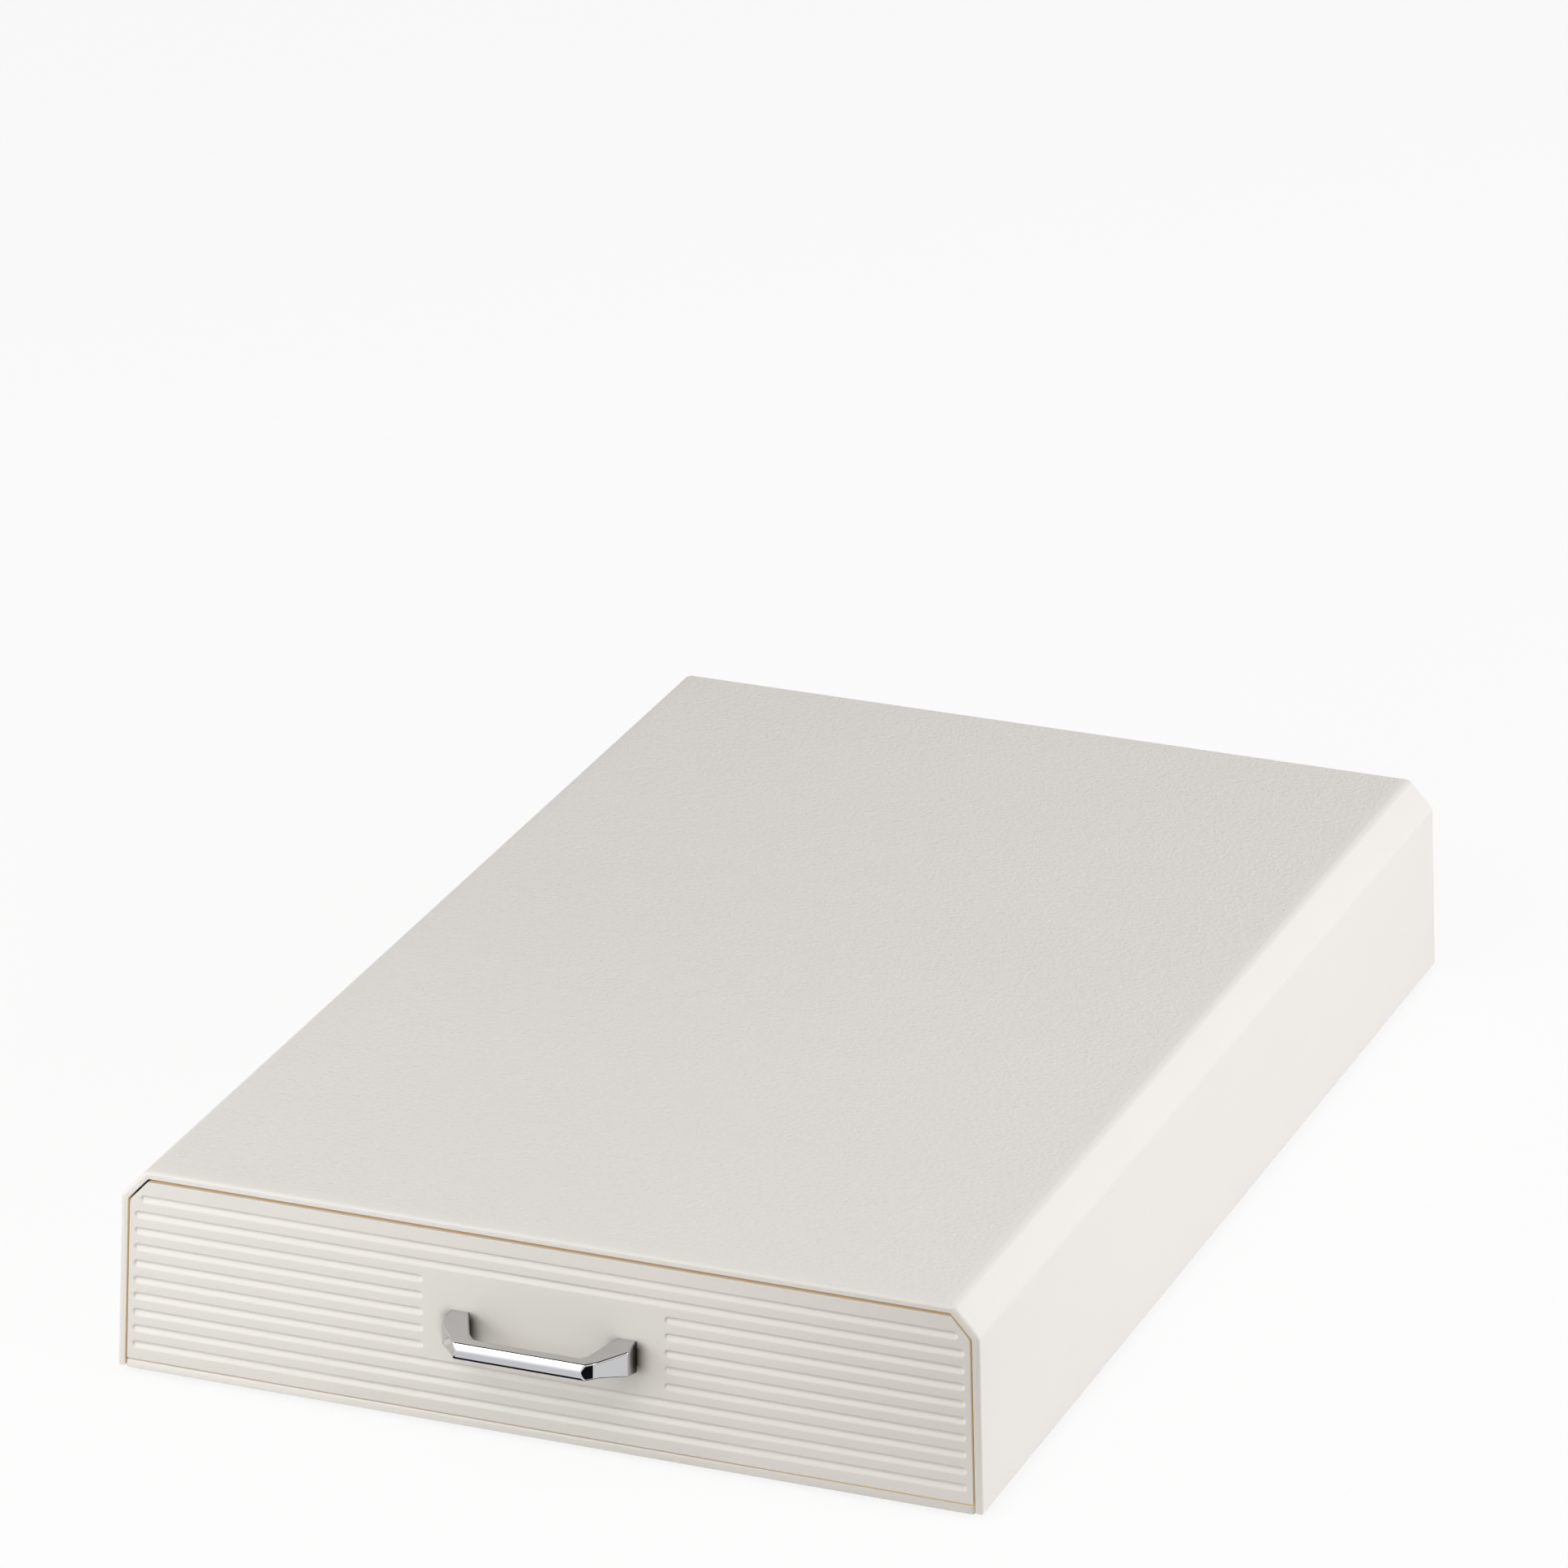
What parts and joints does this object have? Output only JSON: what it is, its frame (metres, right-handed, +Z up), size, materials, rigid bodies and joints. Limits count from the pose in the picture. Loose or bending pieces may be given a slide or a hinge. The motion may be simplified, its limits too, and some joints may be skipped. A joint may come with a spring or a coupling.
{
  "type": "coffee pod drawer",
  "caption": "Low white drawer unit that stands under a coffee machine; one full-width drawer with a grooved front and a chrome bow handle slides out to show lanes for capsules.",
  "frame": {"origin": "middle of the unit's box, handle included, on the surface that its feet stand on", "axes": "+Z up, -Y towards the drawer front and the handle, +X to the right of someone who stands in front and looks at the drawer"},
  "size_m": [0.237, 0.4002, 0.0579],
  "materials": {
    "white_plastic": "warm white moulded plastic, satin, with a fine sand grain on the top",
    "tray_plastic": "smooth off-white moulded plastic",
    "chrome": "polished chrome plating on a cast bow",
    "steel": "bright zinc-plated steel",
    "nylon": "natural nylon, slightly waxy",
    "rubber": "matt black rubber"
  },
  "bodies": {
    "housing": {"housing_shell": "white_plastic", "base_plate": "white_plastic", "base_screws": "steel", "runner_left": "nylon", "runner_right": "nylon", "runner_screws": "steel", "stop_buffer_left": "rubber", "stop_buffer_right": "rubber", "rear_buffer_left": "rubber", "rear_buffer_right": "rubber", "foot_front_left": "rubber", "foot_front_right": "rubber", "foot_rear_left": "rubber", "foot_rear_right": "rubber"},
    "drawer": {"drawer_tray": "tray_plastic", "drawer_front": "white_plastic", "front_screws": "steel", "handle": "chrome", "handle_washers": "steel", "handle_screws": "steel", "lane_divider_1": "tray_plastic", "lane_divider_2": "tray_plastic", "lane_divider_3": "tray_plastic", "lane_divider_4": "tray_plastic"}
  },
  "joints": [
    {"name": "drawer_slide", "type": "slide", "parent": "housing", "child": "drawer", "axis": [0, -1, 0], "range_m": [0, 0.28]}
  ]
}
